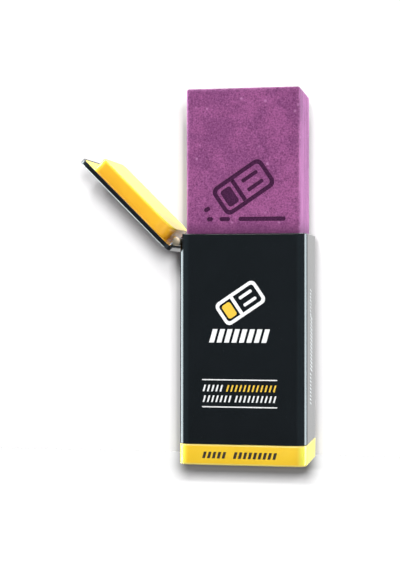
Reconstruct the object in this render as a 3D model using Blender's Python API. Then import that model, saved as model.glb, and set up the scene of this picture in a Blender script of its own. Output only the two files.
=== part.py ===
"""A suede eraser in a flip-top case.

A moulded black sleeve stands on a yellow base cup. A black lid with a yellow insert turns on a steel
hinge at the left of the mouth, and a block of suede eraser slides in the sleeve.

Metres, +Z up, the front faces -Y. The origin is the middle of the flat underside of the base cup.
The lid is modelled shut, in coordinates that start at the hinge axis, and its parent empty opens it.
"""

from math import cos, hypot, pi, radians, sin

import bmesh
import bpy
from mathutils import Vector

# Case
CASE_WIDTH = 0.0450
CASE_DEPTH = 0.0330
CASE_HEIGHT = 0.0808
CORNER_RADIUS = 0.0035
WALL = 0.0015
RIM_ROUND = 0.00025
BAND_HEIGHT = 0.00725
FOOT_ROUND = 0.0010
FLOOR = 0.0018
SPIGOT_RISE = 0.0034
SPIGOT_WALL = 0.0014
BASE_RIB = 0.0012
BASE_CELLS = (4, 3)

# Clearances: pressed or bonded pieces, pieces that turn side by side, and the sliding eraser
FIT_GAP = 0.00015
RUN_GAP = 0.0003
ERASER_GAP = 0.00075

# Eraser
ERASER_ROUND = 0.0012
ERASER_SHOWN = 0.0512
ERASER_HEADROOM = 0.0007
ERASER_SEAT_GAP = 0.0003

# Lid
LID_OPEN_DEGREES = 135
LID_OVERHANG = 0.0012
LID_STEP_BACK = 0.0008
LID_SEAT_GAP = 0.0001
LID_THICKNESS = 0.00185
LID_ROUND = 0.0005
FLANGE_THICKNESS = 0.0004
SHELL_TOP = 0.0008
SHELL_SKIRT = 0.0008
PLUG_DEPTH = 0.0051
PLUG_FAR_GAP = 0.0045
PLUG_GAP = 0.00025
PLUG_WALL = 0.0012
PLUG_NEAR_RADIUS = 0.0060
PLUG_FAR_RADIUS = 0.0025
PLUG_ROUND = 0.0003
LID_RIB = 0.0010
PLUG_CELLS = (4, 3)

# Hinge
AXIS_BELOW_RIM = 0.0026
BARREL_RADIUS = 0.0014
LEAF_THICKNESS = 0.0004
LEAF_MARGIN = 0.0004
LEAF_DROP = 0.0075
KNUCKLES = 5
CURL_DEGREES = 300
PIN_RADIUS = 0.0007
PIN_HEAD_LENGTH = 0.0024
PIN_HEAD_ROUND = 0.0003
TAIL_LENGTH = 0.0080
TAIL_CHAMFER = 0.0002

# Rivets
RIVET_RADIUS = 0.0008
RIVET_HEAD_RADIUS = 0.0015
RIVET_HEAD = 0.0003
RIVET_DOME = 0.0004
RIVET_SEAT_GAP = 0.00005
RIVET_END_MARGIN = 0.0051
CASE_RIVET_MARGIN = 0.0025
LID_RIVET_MARGIN = 0.0028
LID_RIVET_DEPTH = 0.0030
COUNTERSINK = 0.00024
BOSS_WALL = 0.0010

# Facets
CORNER_STEPS = 8
ROUND_STEPS = 4
BARREL_STEP_DEGREES = 15
TURNED_STEPS = 32
SHARP_DEGREES = 30

# Places that follow from the sizes above
LEFT = -CASE_WIDTH / 2
RIGHT = CASE_WIDTH / 2
FRONT = -CASE_DEPTH / 2
BACK = CASE_DEPTH / 2
AXIS_X = LEFT + LEAF_THICKNESS - BARREL_RADIUS
AXIS_Z = CASE_HEIGHT - AXIS_BELOW_RIM
SPIGOT_TOP = BAND_HEIGHT + SPIGOT_RISE
INNER_RADIUS = CORNER_RADIUS - WALL
LEAF_WIDTH = CASE_DEPTH - 2 * (CORNER_RADIUS + LEAF_MARGIN)
TAIL_START = BARREL_RADIUS
RIVET_PLACES = (("front", RIVET_END_MARGIN - LEAF_WIDTH / 2), ("back", LEAF_WIDTH / 2 - RIVET_END_MARGIN))
CASE_RIVET_Z = AXIS_Z - LEAF_DROP + CASE_RIVET_MARGIN
LID_RIVET_X = TAIL_START + TAIL_LENGTH - LID_RIVET_MARGIN
RIVET_HOLE = RIVET_RADIUS + FIT_GAP
CUT_PAST = 0.002


def clear_scene():
    for old in list(bpy.data.objects):
        bpy.data.objects.remove(old, do_unlink=True)


def material(name, color, roughness, metallic=0.0):
    made = bpy.data.materials.new(name)
    made.use_nodes = True
    shader = made.node_tree.nodes["Principled BSDF"]
    shader.inputs["Base Color"].default_value = (*color, 1.0)
    shader.inputs["Roughness"].default_value = roughness
    shader.inputs["Metallic"].default_value = metallic
    made.diffuse_color = (*color, 1.0)
    return made


def mesh_object(name, points, faces, finish=None, parent=None):
    """One object from points and faces, with its faces turned outwards."""
    mesh = bpy.data.meshes.new(name)
    mesh.from_pydata([tuple(point) for point in points], [], faces)
    edit = bmesh.new()
    edit.from_mesh(mesh)
    bmesh.ops.recalc_face_normals(edit, faces=edit.faces)
    edit.to_mesh(mesh)
    edit.free()
    mesh.shade_smooth()
    mesh.set_sharp_from_angle(angle=radians(SHARP_DEGREES))
    if finish:
        mesh.materials.append(finish)
    made = bpy.data.objects.new(name, mesh)
    bpy.context.scene.collection.objects.link(made)
    made.parent = parent
    return made


def helper(made):
    """Marks an object as a tool for Booleans, which isn't part of the model."""
    made.hide_render = True
    made.display_type = 'WIRE'
    return made


def boolean(target, tool, operation):
    step = target.modifiers.new(tool.name, 'BOOLEAN')
    step.operation = operation
    step.solver = 'EXACT'
    step.object = helper(tool)


def cut(target, tool):
    boolean(target, tool, 'DIFFERENCE')


def join(target, tool):
    boolean(target, tool, 'UNION')


def loft(name, rings, finish=None, parent=None):
    """A closed solid through rings of equally many points, with a flat cap at each end."""
    count = len(rings[0])
    points = [point for ring in rings for point in ring]
    faces = [tuple(reversed(range(count)))]
    for step in range(len(rings) - 1):
        low = step * count
        high = low + count
        for i in range(count):
            j = (i + 1) % count
            faces.append((low + i, low + j, high + j, high + i))
    last = (len(rings) - 1) * count
    faces.append(tuple(range(last, last + count)))
    return mesh_object(name, points, faces, finish, parent)


def outline(x0, x1, half_depth, near_radius, far_radius):
    """Corner arcs of a rounded rectangle in plan. The near corners are those at x0."""
    corners = (
        (x1 - far_radius, far_radius - half_depth, far_radius, -90),
        (x1 - far_radius, half_depth - far_radius, far_radius, 0),
        (x0 + near_radius, half_depth - near_radius, near_radius, 90),
        (x0 + near_radius, near_radius - half_depth, near_radius, 180),
    )
    points = []
    for cx, cy, radius, start in corners:
        for step in range(CORNER_STEPS + 1):
            turn = radians(start + 90 * step / CORNER_STEPS)
            points.append((cx + radius * cos(turn), cy + radius * sin(turn)))
    return points


def block(name, x0, x1, half_depth, z0, z1, near_radius, far_radius,
          low_round=0.0, high_round=0.0, finish=None, parent=None):
    """An upright rounded block whose lower and upper edges may be rounded over."""
    levels = []
    if low_round:
        for step in range(ROUND_STEPS + 1):
            turn = pi / 2 * step / ROUND_STEPS
            levels.append((z0 + low_round * (1 - sin(turn)), low_round * (1 - cos(turn))))
        levels.reverse()
    else:
        levels.append((z0, 0.0))
    if high_round:
        for step in range(ROUND_STEPS + 1):
            turn = pi / 2 * step / ROUND_STEPS
            levels.append((z1 - high_round * (1 - sin(turn)), high_round * (1 - cos(turn))))
    else:
        levels.append((z1, 0.0))
    rings = []
    for z, inset in levels:
        plan = outline(x0 + inset, x1 - inset, half_depth - inset, near_radius - inset, far_radius - inset)
        rings.append([(x, y, z) for x, y in plan])
    return loft(name, rings, finish, parent)


def box(name, x0, x1, y0, y1, z0, z1, finish=None, parent=None):
    rings = [[(x0, y0, z), (x1, y0, z), (x1, y1, z), (x0, y1, z)] for z in (z0, z1)]
    return loft(name, rings, finish, parent)


def strip(name, profile, y0, y1, finish=None, parent=None):
    """A profile drawn in X and Z, drawn out along Y."""
    rings = [[(x, y, z) for x, z in profile] for y in (y0, y1)]
    return loft(name, rings, finish, parent)


def turned(name, profile, axis, place, finish=None, parent=None):
    """A solid of revolution. The profile lists (distance along the axis, radius), without its end centres."""
    rings = []
    for along, radius in profile:
        ring = []
        for step in range(TURNED_STEPS):
            turn = 2 * pi * step / TURNED_STEPS
            across = (radius * cos(turn), radius * sin(turn))
            if axis == 'X':
                ring.append((along, across[0], across[1]))
            elif axis == 'Y':
                ring.append((across[0], along, across[1]))
            else:
                ring.append((across[0], across[1], along))
        rings.append([tuple(Vector(point) + Vector(place)) for point in ring])
    return loft(name, rings, finish, parent)


def arc(radius, start, end):
    """Points on a circle about the hinge axis, in steps of the barrel's facets."""
    steps = round(abs(end - start) / BARREL_STEP_DEGREES)
    turns = [radians(start + (end - start) * step / steps) for step in range(steps + 1)]
    return [(radius * cos(turn), radius * sin(turn)) for turn in turns]


def shifted(profile, dx, dz):
    return [(x + dx, z + dz) for x, z in profile]


def knuckle_span(index):
    """The Y range of one knuckle of the barrel, counted from the front."""
    width = LEAF_WIDTH / KNUCKLES
    start = -LEAF_WIDTH / 2 + index * width
    return start, start + width


def add_ribs(target, x0, x1, y0, y1, z0, z1, cells, thickness, reach):
    """Cross ribs that divide a cup into columns by rows of cells. They end inside its walls."""
    columns, rows = cells
    for column in range(1, columns):
        middle = x0 + (x1 - x0) * column / columns
        join(target, box(f"{target.name}_rib_x{column}", middle - thickness / 2, middle + thickness / 2,
                         y0 - reach, y1 + reach, z0, z1, parent=target.parent))
    for row in range(1, rows):
        middle = y0 + (y1 - y0) * row / rows
        join(target, box(f"{target.name}_rib_y{row}", x0 - reach, x1 + reach,
                         middle - thickness / 2, middle + thickness / 2, z0, z1, parent=target.parent))


def case_sleeve(finish):
    """The tube, with a pocket for the case leaf and a groove that the barrel lies in."""
    sleeve = block("case_sleeve", LEFT, RIGHT, BACK, BAND_HEIGHT + FIT_GAP, CASE_HEIGHT,
                   CORNER_RADIUS, CORNER_RADIUS, high_round=RIM_ROUND, finish=finish)
    bore = block("case_bore", LEFT + WALL, RIGHT - WALL, BACK - WALL,
                 BAND_HEIGHT - CUT_PAST, CASE_HEIGHT + CUT_PAST, INNER_RADIUS, INNER_RADIUS)
    cut(sleeve, bore)
    groove_radius = BARREL_RADIUS + RUN_GAP
    groove = strip("barrel_groove", shifted(arc(groove_radius, 0, 360 - BARREL_STEP_DEGREES), AXIS_X, AXIS_Z),
                   FRONT - CUT_PAST, BACK + CUT_PAST)
    cut(sleeve, groove)
    half = LEAF_WIDTH / 2 + FIT_GAP
    pocket = box("leaf_pocket", LEFT - CUT_PAST, LEFT + LEAF_THICKNESS + FIT_GAP, -half, half,
                 AXIS_Z - LEAF_DROP - FIT_GAP, CASE_HEIGHT + CUT_PAST)
    cut(sleeve, pocket)
    for place, y in RIVET_PLACES:
        hole = turned(f"sleeve_hole_{place}", [(-CUT_PAST, RIVET_HOLE), (WALL + CUT_PAST, RIVET_HOLE)],
                      'X', (LEFT, y, CASE_RIVET_Z))
        cut(sleeve, hole)
    return sleeve


def base_cup(finish):
    """The foot: a band flush with the sleeve, and a ribbed spigot that carries the stowed eraser."""
    cup = block("base_cup", LEFT, RIGHT, BACK, 0.0, BAND_HEIGHT, CORNER_RADIUS, CORNER_RADIUS,
                low_round=FOOT_ROUND, finish=finish)
    inset = WALL + FIT_GAP
    spigot = block("spigot", LEFT + inset, RIGHT - inset, BACK - inset, FLOOR, SPIGOT_TOP,
                   INNER_RADIUS - FIT_GAP, INNER_RADIUS - FIT_GAP, high_round=RIM_ROUND)
    join(cup, spigot)
    inside = inset + SPIGOT_WALL
    corner = max(INNER_RADIUS - FIT_GAP - SPIGOT_WALL, RIM_ROUND)
    hollow = block("base_hollow", LEFT + inside, RIGHT - inside, BACK - inside, FLOOR,
                   SPIGOT_TOP + CUT_PAST, corner, corner)
    cut(cup, hollow)
    add_ribs(cup, LEFT + inside, RIGHT - inside, FRONT + inside, BACK - inside,
             FLOOR / 2, SPIGOT_TOP - RIM_ROUND, BASE_CELLS, BASE_RIB, SPIGOT_WALL / 2)
    return cup


def eraser_block(finish):
    """The eraser, raised as far as it is shown above the rim."""
    low, high = eraser_ends()
    inset = WALL + ERASER_GAP
    return block("eraser_block", LEFT + inset, RIGHT - inset, BACK - inset, low, high,
                 ERASER_ROUND, ERASER_ROUND, ERASER_ROUND / 2, ERASER_ROUND / 2, finish)


def eraser_ends():
    """Heights of the raised eraser's ends. It is as long as the space under the shut lid's plug."""
    plug_low = CASE_HEIGHT + LID_SEAT_GAP - PLUG_DEPTH
    length = plug_low - ERASER_HEADROOM - SPIGOT_TOP - ERASER_SEAT_GAP
    high = CASE_HEIGHT + ERASER_SHOWN
    return high - length, high


def hinge_leaf_case(finish):
    """A plate in the sleeve's pocket that curls over the pin at every other knuckle."""
    inner = BARREL_RADIUS - LEAF_THICKNESS
    profile = [(BARREL_RADIUS, -LEAF_DROP)]
    profile += arc(BARREL_RADIUS, 0, CURL_DEGREES)
    profile += arc(inner, CURL_DEGREES, 0)
    profile += [(inner, -LEAF_DROP)]
    half = LEAF_WIDTH / 2
    leaf = strip("hinge_leaf_case", shifted(profile, AXIS_X, AXIS_Z), -half, half, finish)
    room = BARREL_RADIUS + RUN_GAP
    for index in range(1, KNUCKLES, 2):
        start, end = knuckle_span(index)
        gap = box(f"case_leaf_gap_{index}", AXIS_X - room, AXIS_X + room, start, end,
                  AXIS_Z - room, AXIS_Z + room)
        cut(leaf, gap)
    for place, y in RIVET_PLACES:
        hole = turned(f"case_leaf_hole_{place}", [(-CUT_PAST, RIVET_HOLE), (CUT_PAST, RIVET_HOLE)],
                      'X', (LEFT, y, CASE_RIVET_Z))
        cut(leaf, hole)
    return leaf


def hinge_pin(finish):
    """The pin, turned down between its two upset heads."""
    shank_end = LEAF_WIDTH / 2 + FIT_GAP
    head_end = shank_end + PIN_HEAD_LENGTH
    small = BARREL_RADIUS - PIN_HEAD_ROUND
    half = [(shank_end, PIN_RADIUS), (shank_end, BARREL_RADIUS), (head_end - PIN_HEAD_ROUND, BARREL_RADIUS),
            (head_end, small)]
    profile = [(-along, radius) for along, radius in reversed(half)] + half
    return turned("hinge_pin", profile, 'Y', (AXIS_X, 0.0, AXIS_Z), finish)


def case_rivets(finish):
    """Rivets from the case leaf through the wall, headed on both sides."""
    outside = -RIVET_SEAT_GAP
    inside = WALL + RIVET_SEAT_GAP
    profile = [
        (outside - RIVET_HEAD, RIVET_HEAD_RADIUS - RIVET_DOME),
        (outside - RIVET_HEAD / 2, RIVET_HEAD_RADIUS),
        (outside, RIVET_HEAD_RADIUS),
        (outside, RIVET_RADIUS),
        (inside, RIVET_RADIUS),
        (inside, RIVET_HEAD_RADIUS),
        (inside + RIVET_HEAD / 2, RIVET_HEAD_RADIUS),
        (inside + RIVET_HEAD, RIVET_HEAD_RADIUS - RIVET_DOME),
    ]
    for place, y in RIVET_PLACES:
        turned(f"case_rivet_{place}", profile, 'X', (LEFT, y, CASE_RIVET_Z), finish)


def lid_heights():
    """Heights above the hinge axis of the shut lid's flange underside, flange top, inner step and top."""
    under = AXIS_BELOW_RIM + LID_SEAT_GAP
    top = under + LID_THICKNESS
    flange_top = under + FLANGE_THICKNESS
    step_top = top - SHELL_TOP - FIT_GAP
    return under, flange_top, step_top, top


def lid_ends():
    """Distances from the hinge axis, along X, of the shut lid's near and far ends."""
    near = LEFT - LID_OVERHANG - AXIS_X
    far = RIGHT - LID_STEP_BACK - AXIS_X
    return near, far


def plug_ends():
    """Where the plug starts and ends, along X from the hinge axis.

    It starts past the arc that the rim's inner edge takes round the axis while the lid turns.
    """
    swing = hypot(LEFT + WALL - AXIS_X, AXIS_BELOW_RIM)
    return swing + PLUG_GAP, RIGHT - WALL - PLUG_FAR_GAP - AXIS_X


def tail_heights():
    """Heights above the hinge axis of the lid leaf's tail, which lies flush in the insert."""
    step_top = lid_heights()[2]
    return step_top - LEAF_THICKNESS, step_top


def lid_shell(finish, hinge):
    """The black cover: a plate with a low skirt."""
    near, far = lid_ends()
    under, flange_top, step_top, top = lid_heights()
    shell = block("lid_shell", near, far, BACK, flange_top + FIT_GAP, top, CORNER_RADIUS, CORNER_RADIUS,
                  high_round=LID_ROUND, finish=finish, parent=hinge)
    room = block("shell_room", near + SHELL_SKIRT, far - SHELL_SKIRT, BACK - SHELL_SKIRT,
                 under - CUT_PAST, top - SHELL_TOP, CORNER_RADIUS - SHELL_SKIRT,
                 CORNER_RADIUS - SHELL_SKIRT, parent=hinge)
    cut(shell, room)
    return shell


def lid_insert(finish, hinge):
    """The yellow lining: flange, inner step and a hollow ribbed plug, with room for the lid leaf."""
    near, far = lid_ends()
    under, flange_top, step_top, top = lid_heights()
    insert = block("lid_insert", near, far, BACK, under, flange_top, CORNER_RADIUS, CORNER_RADIUS,
                   finish=finish, parent=hinge)
    inset = SHELL_SKIRT + FIT_GAP
    step = block("insert_step", near + inset, far - inset, BACK - inset, under + FLANGE_THICKNESS / 2,
                 step_top, CORNER_RADIUS - inset, CORNER_RADIUS - inset, parent=hinge)
    join(insert, step)
    x0, x1 = plug_ends()
    half = BACK - WALL - PLUG_GAP
    low = under - PLUG_DEPTH
    plug = block("plug", x0, x1, half, low, flange_top, PLUG_NEAR_RADIUS, PLUG_FAR_RADIUS,
                 low_round=PLUG_ROUND, parent=hinge)
    join(insert, plug)
    hollow = block("plug_hollow", x0 + PLUG_WALL, x1 - PLUG_WALL, half - PLUG_WALL, low + PLUG_WALL,
                   step_top + CUT_PAST, PLUG_NEAR_RADIUS - PLUG_WALL, PLUG_FAR_RADIUS - PLUG_WALL,
                   parent=hinge)
    cut(insert, hollow)
    tail_low, tail_top = tail_heights()
    channel_floor = tail_low - FIT_GAP
    add_ribs(insert, x0 + PLUG_WALL, x1 - PLUG_WALL, PLUG_WALL - half, half - PLUG_WALL,
             low + PLUG_WALL / 2, channel_floor, PLUG_CELLS, LID_RIB, PLUG_WALL / 2)
    for place, y in RIVET_PLACES:
        centre = (LID_RIVET_X, y, 0.0)
        boss_radius = RIVET_HOLE + BOSS_WALL
        boss = turned(f"boss_{place}", [(low + PLUG_WALL / 2, boss_radius), (channel_floor, boss_radius)],
                      'Z', centre, parent=hinge)
        join(insert, boss)
        hole_low = tail_top - LID_RIVET_DEPTH - FIT_GAP
        hole = turned(f"boss_hole_{place}", [(hole_low, RIVET_HOLE), (step_top + CUT_PAST, RIVET_HOLE)],
                      'Z', centre, parent=hinge)
        cut(insert, hole)
    room = LEAF_WIDTH / 2 + FIT_GAP
    strap_inner = BARREL_RADIUS - LEAF_THICKNESS - FIT_GAP
    channel = box("tail_channel", strap_inner, TAIL_START + TAIL_LENGTH + FIT_GAP, -room, room,
                  channel_floor, step_top + CUT_PAST, parent=hinge)
    cut(insert, channel)
    notch = box("strap_notch", near - CUT_PAST, BARREL_RADIUS + FIT_GAP, -room, room,
                under - CUT_PAST, step_top + CUT_PAST, parent=hinge)
    cut(insert, notch)
    return insert


def hinge_leaf_lid(finish, hinge):
    """A strap that rises from the barrel, turns over the rim and ends as a tail in the insert."""
    inner = BARREL_RADIUS - LEAF_THICKNESS
    tail_low, tail_top = tail_heights()
    end = TAIL_START + TAIL_LENGTH
    profile = [
        (inner, tail_top - TAIL_CHAMFER),
        (inner + TAIL_CHAMFER, tail_top),
        (end, tail_top),
        (end, tail_low),
        (TAIL_START, tail_low),
    ]
    profile += arc(BARREL_RADIUS, 0, -CURL_DEGREES)
    profile += arc(inner, -CURL_DEGREES, 0)
    half = LEAF_WIDTH / 2
    leaf = strip("hinge_leaf_lid", profile, -half, half, finish, hinge)
    room = BARREL_RADIUS + RUN_GAP
    for index in range(0, KNUCKLES, 2):
        front, back = knuckle_span(index)
        gap = box(f"lid_leaf_gap_{index}", -room, room, front - RUN_GAP, back + RUN_GAP, -room, room,
                  parent=hinge)
        cut(leaf, gap)
    for place, y in RIVET_PLACES:
        hole = turned(f"lid_leaf_hole_{place}", countersunk(FIT_GAP, CUT_PAST), 'Z',
                      (LID_RIVET_X, y, 0.0), parent=hinge)
        cut(leaf, hole)
    return leaf


def countersunk(gap, past):
    """Profile of a lid rivet, or of its hole: wider by a gap all round, and past the leaf above."""
    top = tail_heights()[1]
    return [
        (top - LID_RIVET_DEPTH, RIVET_RADIUS + gap),
        (top - COUNTERSINK, RIVET_RADIUS + gap),
        (top + past, RIVET_RADIUS + COUNTERSINK + past + gap),
    ]


def lid_rivets(finish, hinge):
    for place, y in RIVET_PLACES:
        turned(f"lid_rivet_{place}", countersunk(0.0, 0.0), 'Z', (LID_RIVET_X, y, 0.0), finish, hinge)


def hinge_empty():
    """The parent of everything that turns with the lid. Its turn about Y opens the lid."""
    hinge = bpy.data.objects.new("lid_hinge_axis", None)
    hinge.location = (AXIS_X, 0.0, AXIS_Z)
    hinge.rotation_euler = (0.0, -radians(LID_OPEN_DEGREES), 0.0)
    bpy.context.scene.collection.objects.link(hinge)
    return hinge


def main():
    clear_scene()
    black = material("black_gloss_plastic", (0.010, 0.013, 0.016), 0.12)
    yellow = material("yellow_gloss_plastic", (0.95, 0.55, 0.03), 0.30)
    steel = material("hinge_steel", (0.55, 0.50, 0.44), 0.35, 1.0)
    suede = material("purple_eraser", (0.32, 0.095, 0.27), 0.95)
    case_sleeve(black)
    base_cup(yellow)
    eraser_block(suede)
    hinge_leaf_case(steel)
    hinge_pin(steel)
    case_rivets(steel)
    hinge = hinge_empty()
    lid_shell(black, hinge)
    lid_insert(yellow, hinge)
    hinge_leaf_lid(steel, hinge)
    lid_rivets(steel, hinge)


main()
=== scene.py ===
# %% [markdown]
# # A suede eraser in a flip-top case
#
# This lesson dresses a imported CAD part: a glossy black case on a yellow foot, a lid that stands open on a
# steel hinge, and a block of purple suede eraser that is raised out of the case. The CAD part gives every
# place and size. We load it first and keep its box.

from math import cos, pi, radians, sin

import bmesh
import bpy
from mathutils import Matrix, Vector


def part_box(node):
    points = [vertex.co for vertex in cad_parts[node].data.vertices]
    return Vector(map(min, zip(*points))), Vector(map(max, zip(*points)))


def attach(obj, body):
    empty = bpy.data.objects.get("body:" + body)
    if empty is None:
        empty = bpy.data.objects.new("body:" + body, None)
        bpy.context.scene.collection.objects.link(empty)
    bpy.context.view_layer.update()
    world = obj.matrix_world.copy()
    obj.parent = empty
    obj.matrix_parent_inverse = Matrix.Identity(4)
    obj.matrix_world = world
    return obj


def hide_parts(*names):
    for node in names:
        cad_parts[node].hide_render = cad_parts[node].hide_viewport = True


def in_mm(values):
    return [round(1000 * value, 2) for value in values]


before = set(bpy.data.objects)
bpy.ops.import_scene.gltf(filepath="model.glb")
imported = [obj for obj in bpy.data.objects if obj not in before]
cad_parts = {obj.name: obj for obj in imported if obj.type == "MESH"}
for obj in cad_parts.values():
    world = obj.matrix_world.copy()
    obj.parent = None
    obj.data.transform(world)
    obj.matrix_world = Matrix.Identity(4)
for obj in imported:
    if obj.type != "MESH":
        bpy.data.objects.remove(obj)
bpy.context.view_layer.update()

# %% [markdown]
# ## The places that everything hangs on
#
# The boxes of the CAD nodes say where the walls are, and the joint says where the lid turns. Only small
# things that a box can't say, such as the radius of an edge, are written here as numbers. A corner of a
# moulding isn't an arc: an arc meets the flat wall with a jump in curvature, and in gloss plastic a jump
# shows as a hard line in the reflection. So the corners follow a superellipse, which eases in.

# %% Places and sizes, in metres
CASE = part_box("case_sleeve")
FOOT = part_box("base_cup")
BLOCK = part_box("eraser_block")
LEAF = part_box("hinge_leaf_case")
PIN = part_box("hinge_pin")
LEFT, FRONT, FOOT_LOW = FOOT[0]
RIGHT, BACK, SPIGOT_TOP = FOOT[1]
SLEEVE_LOW, RIM = CASE[0].z, CASE[1].z
LID_AXIS = Vector(((PIN[0].x + PIN[1].x) / 2, 0.0, (PIN[0].z + PIN[1].z) / 2))
LID_OPEN = radians(135)
LID_TOP = 0.00455        # this and the plug are measured from the hinge axis, with the lid shut
PLUG_LOW, PLUG_NEAR, PLUG_FAR = -0.0024, 0.003857, 0.0400

WALL = 0.0015
INK = 0.00002            # printed ink stands this far out of the plastic
GAP = 0.00015            # between pieces that are pressed or bonded together
PAST = 0.002             # a cutting tool reaches this far past what it cuts
CORNER = 0.0035
CORNER_POWER = 2.5
CORNER_REACH = 1.21      # a superellipse of that power reaches this much further than an arc
CORNER_STEPS = 16
SHARPEST = 0.00002
EDGE_STEPS = 4
BAND_TOP = SLEEVE_LOW - GAP
print("lid turns about", in_mm(LID_AXIS), "mm")

# %% [markdown]
# ## Helpers for meshes
#
# Most mouldings here are lofts: one outline in plan, repeated at many heights and inset a little at each
# rounded edge. A loft is quick to make, its faces run along the edges, and its reflections stay clean.
# Where a pocket or groove breaks the shape, a Boolean cuts it, and the result is turned into a plain mesh.

# %% Mesh helpers
def new_object(name, mesh, finish=None):
    made = bpy.data.objects.new(name, mesh)
    bpy.context.scene.collection.objects.link(made)
    if finish:
        mesh.materials.append(finish)
    return made


def settle(made):
    """Turns an object with modifiers into a plain mesh."""
    graph = bpy.context.evaluated_depsgraph_get()
    mesh = bpy.data.meshes.new_from_object(made.evaluated_get(graph), preserve_all_data_layers=True,
                                           depsgraph=graph)
    mesh.name = made.name
    made.modifiers.clear()
    made.data = mesh


def smooth(made, sharp_degrees=28, weighted=True):
    """Smooth shading that stays sharp at real edges and, if weighted, flat on large faces."""
    made.data.shade_smooth()
    made.data.set_sharp_from_angle(angle=radians(sharp_degrees))
    if weighted:
        step = made.modifiers.new("weighted", 'WEIGHTED_NORMAL')
        step.keep_sharp = True
        step.weight = 100
        settle(made)


def loft(name, rings, finish=None, ring_closed=False):
    """A closed solid through rings of equally many points. A tube's last ring joins its first."""
    count = len(rings[0])
    points = [point for ring in rings for point in ring]
    caps = [] if ring_closed else [range(count), range(len(points) - count, len(points))]
    faces = [list(cap) for cap in caps]
    for low in range(len(rings) if ring_closed else len(rings) - 1):
        high = (low + 1) % len(rings)
        for i in range(count):
            j = (i + 1) % count
            faces.append((low * count + i, low * count + j, high * count + j, high * count + i))
    mesh = bpy.data.meshes.new(name)
    mesh.from_pydata(points, [], faces)
    edit = bmesh.new()
    edit.from_mesh(mesh)
    bmesh.ops.recalc_face_normals(edit, faces=edit.faces)
    edit.to_mesh(mesh)
    edit.free()
    return new_object(name, mesh, finish)


def carve(target, tool, solver='EXACT'):
    """Cuts one object out of another and throws the tool away. New faces take the target's finish."""
    for finish in target.data.materials:
        tool.data.materials.append(finish)
    step = target.modifiers.new("cut", 'BOOLEAN')
    step.operation = 'DIFFERENCE'
    step.solver = solver
    step.object = tool
    settle(target)
    bpy.data.objects.remove(tool, do_unlink=True)


def block(name, low, high):
    x0, y0, z0 = low
    x1, y1, z1 = high
    return loft(name, [[(x0, y0, z), (x1, y0, z), (x1, y1, z), (x0, y1, z)] for z in (z0, z1)])


def turned_rod(name, profile, steps):
    """A solid of revolution about the hinge axis. The profile lists (distance along Y, radius)."""
    turns = [2 * pi * step / steps for step in range(steps)]
    return loft(name, [[(LID_AXIS.x + radius * cos(turn), along, LID_AXIS.z + radius * sin(turn))
                        for turn in turns] for along, radius in profile])


def joined(name, parts, finish):
    """One object with this finish from several, which are thrown away."""
    edit = bmesh.new()
    for part in parts:
        edit.from_mesh(part.data)
    mesh = bpy.data.meshes.new(name)
    edit.to_mesh(mesh)
    edit.free()
    for part in parts:
        bpy.data.objects.remove(part, do_unlink=True)
    return new_object(name, mesh, finish)


# %% [markdown]
# The outline in plan takes its corners from the superellipse. An edge path is a list of (inset, height)
# pairs that walks up the outside of a moulding and round its edges, a quarter turn at a time.

# %% Outlines and edge paths
def plan(x0, x1, half, near, far):
    """A rounded rectangle from -half to half along Y. The near corners are those at x0."""
    points = []
    for x, side, radius, start in ((x1, -1, far, -90), (x1, 1, far, 0), (x0, 1, near, 90), (x0, -1, near, 180)):
        reach = max(radius, SHARPEST) * CORNER_REACH
        cx = x - reach if x == x1 else x + reach
        cy = side * (half - reach)
        for step in range(CORNER_STEPS + 1):
            turn = radians(start + 90 * step / CORNER_STEPS)
            across, along = [abs(part) ** (2 / CORNER_POWER) * (1 if part > 0 else -1)
                             for part in (cos(turn), sin(turn))]
            points.append((cx + reach * across, cy + reach * along))
    return points


def quarter(inset, height, radius, start, end, steps=EDGE_STEPS):
    turns = [radians(start + (end - start) * step / steps) for step in range(steps + 1)]
    return [(inset + radius * cos(turn), height + radius * sin(turn)) for turn in turns]


def rings_of(path, x0, x1, half, near, far):
    """The outline at each step of an edge path, inset and lifted."""
    return [[(x, y, z) for x, y in plan(x0 + inset, x1 - inset, half - inset, near - inset, far - inset)]
            for inset, z in path]


print("one outline has", len(plan(LEFT, RIGHT, BACK, CORNER, CORNER)), "points")

# %% [markdown]
# ## Helpers for node trees
#
# Materials and Geometry Nodes are both trees of nodes. One short function puts a node in a tree, and links
# or sets each of its inputs. What a node gives is wrapped as a Value, so that sums, ranges, noise and mixed
# colours can be written out as plain formulas, and each step of a formula puts a node in the tree.

# %% Node helpers
def put(tree, kind, inputs=None, **settings):
    """Adds a node. An input is a Value or a socket to link from, or a plain number or tuple."""
    node = tree.nodes.new(kind)
    for name, setting in settings.items():
        setattr(node, name, setting)
    for key, value in (inputs or {}).items():
        value = getattr(value, "socket", value)
        if isinstance(value, bpy.types.NodeSocket):
            tree.links.new(value, node.inputs[key])
        else:
            node.inputs[key].default_value = value
    return node


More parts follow.
